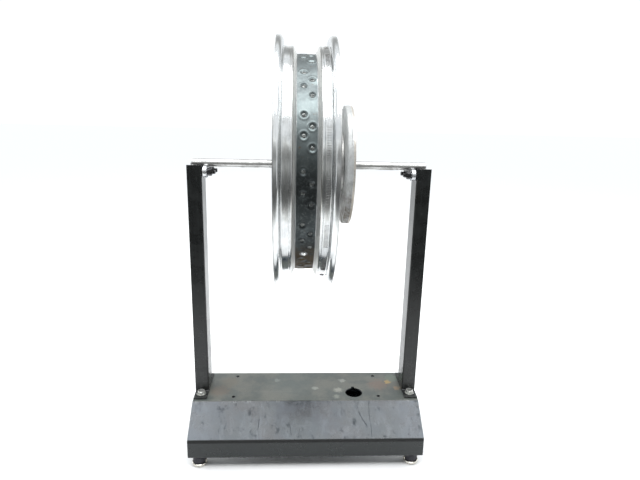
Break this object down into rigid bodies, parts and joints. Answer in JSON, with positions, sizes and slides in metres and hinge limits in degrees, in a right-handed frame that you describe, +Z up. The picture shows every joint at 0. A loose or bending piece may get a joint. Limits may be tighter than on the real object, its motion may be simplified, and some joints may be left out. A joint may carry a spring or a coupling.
{
  "type": "wheel truing stand",
  "caption": "Folded sheet-metal stand with two uprights whose ball-bearing rollers carry an arbor, and a bare spoked motorcycle rim with hub and brake drum clamped on it.",
  "frame": {"origin": "on the floor, under the middle of the stand", "axes": "+X along the arbor towards the brake drum's side, +Y towards the back, +Z up"},
  "size_m": [0.442, 0.4404, 0.7767],
  "materials": {
    "base_paint": "semi-gloss black paint, scuffed and dusty, greyed on the slopes",
    "upright_paint": "semi-gloss black paint",
    "zinc": "zinc plated, dulled",
    "black_oxide": "black oxide, oiled",
    "bearing_steel": "ground bearing steel",
    "nickel": "bright nickel",
    "foot_rubber": "dark moulded rubber",
    "arbor_steel": "polished shaft with worn, darker patches",
    "hub_aluminium": "cast, dull",
    "drum_iron": "cast grey with brown rust low down and a machined lip",
    "rim_chrome": "chromed steel, polished outside, dark and stained in the well",
    "spoke_steel": "zinc plated wire",
    "cone_steel": "turned steel"
  },
  "bodies": {
    "stand": {"base_plate": "base_paint", "upright_left": "upright_paint", "upright_right": "upright_paint", "tab_bolt_left_front": "zinc", "tab_washer_left_front": "zinc", "tab_nut_left_front": "zinc", "roller_bolt_left_front": "black_oxide", "roller_spacer_left_front": "zinc", "roller_inner_ring_left_front": "bearing_steel", "roller_nut_left_front": "black_oxide", "foot_jam_nut_left_front": "zinc", "tab_bolt_left_back": "zinc", "tab_washer_left_back": "zinc", "tab_nut_left_back": "zinc", "roller_bolt_left_back": "black_oxide", "roller_spacer_left_back": "zinc", "roller_inner_ring_left_back": "bearing_steel", "roller_nut_left_back": "black_oxide", "foot_jam_nut_left_back": "zinc", "tab_bolt_right_front": "zinc", "tab_washer_right_front": "zinc", "tab_nut_right_front": "zinc", "roller_bolt_right_front": "black_oxide", "roller_spacer_right_front": "zinc", "roller_inner_ring_right_front": "bearing_steel", "roller_nut_right_front": "black_oxide", "foot_jam_nut_right_front": "zinc", "tab_bolt_right_back": "zinc", "tab_washer_right_back": "zinc", "tab_nut_right_back": "zinc", "roller_bolt_right_back": "black_oxide", "roller_spacer_right_back": "zinc", "roller_inner_ring_right_back": "bearing_steel", "roller_nut_right_back": "black_oxide", "foot_jam_nut_right_back": "zinc"},
    "wheel": {"arbor": "arbor_steel", "hub_shell": "hub_aluminium", "brake_drum": "drum_iron", "rim": "rim_chrome", "spokes_left": "spoke_steel", "spokes_right": "spoke_steel"},
    "roller_left_front": {"roller_outer_ring_left_front": "bearing_steel"},
    "roller_left_back": {"roller_outer_ring_left_back": "bearing_steel"},
    "roller_right_front": {"roller_outer_ring_right_front": "bearing_steel"},
    "roller_right_back": {"roller_outer_ring_right_back": "bearing_steel"},
    "cone_set_left": {"cone_left": "cone_steel", "lock_collar_left": "black_oxide", "set_screw_left": "black_oxide"},
    "cone_set_right": {"cone_right": "cone_steel", "lock_collar_right": "black_oxide", "set_screw_right": "black_oxide"},
    "foot_left_front": {"foot_glide_left_front": "nickel", "foot_collar_left_front": "foot_rubber"},
    "foot_left_back": {"foot_glide_left_back": "nickel", "foot_collar_left_back": "foot_rubber"},
    "foot_right_front": {"foot_glide_right_front": "nickel", "foot_collar_right_front": "foot_rubber"},
    "foot_right_back": {"foot_glide_right_back": "nickel", "foot_collar_right_back": "foot_rubber"}
  },
  "joints": [
    {"name": "wheel_spin", "type": "hinge", "parent": "stand", "child": "wheel", "pos_m": [0, 0, 0.5565], "axis": [1, 0, 0], "continuous": true},
    {"name": "roller_spin_left_front", "type": "hinge", "parent": "stand", "child": "roller_left_front", "pos_m": [-0.1889, -0.0116, 0.5417], "axis": [1, 0, 0], "continuous": true},
    {"name": "roller_spin_left_back", "type": "hinge", "parent": "stand", "child": "roller_left_back", "pos_m": [-0.1889, 0.0116, 0.5417], "axis": [1, 0, 0], "continuous": true},
    {"name": "roller_spin_right_front", "type": "hinge", "parent": "stand", "child": "roller_right_front", "pos_m": [0.1889, -0.0116, 0.5417], "axis": [1, 0, 0], "continuous": true},
    {"name": "roller_spin_right_back", "type": "hinge", "parent": "stand", "child": "roller_right_back", "pos_m": [0.1889, 0.0116, 0.5417], "axis": [1, 0, 0], "continuous": true},
    {"name": "cone_slide_left", "type": "slide", "parent": "wheel", "child": "cone_set_left", "axis": [-1, 0, 0], "range_m": [0, 0.08]},
    {"name": "cone_slide_right", "type": "slide", "parent": "wheel", "child": "cone_set_right", "axis": [1, 0, 0], "range_m": [0, 0.08]},
    {"name": "foot_screw_left_front", "type": "slide", "parent": "stand", "child": "foot_left_front", "axis": [0, 0, -1], "range_m": [0, 0.012]},
    {"name": "foot_screw_left_back", "type": "slide", "parent": "stand", "child": "foot_left_back", "axis": [0, 0, -1], "range_m": [0, 0.012]},
    {"name": "foot_screw_right_front", "type": "slide", "parent": "stand", "child": "foot_right_front", "axis": [0, 0, -1], "range_m": [0, 0.012]},
    {"name": "foot_screw_right_back", "type": "slide", "parent": "stand", "child": "foot_right_back", "axis": [0, 0, -1], "range_m": [0, 0.012]}
  ],
  "couplings": [
    {"joint": "roller_spin_left_front", "follows": "wheel_spin", "ratio": -0.68182},
    {"joint": "roller_spin_left_back", "follows": "wheel_spin", "ratio": -0.68182},
    {"joint": "roller_spin_right_front", "follows": "wheel_spin", "ratio": -0.68182},
    {"joint": "roller_spin_right_back", "follows": "wheel_spin", "ratio": -0.68182}
  ]
}
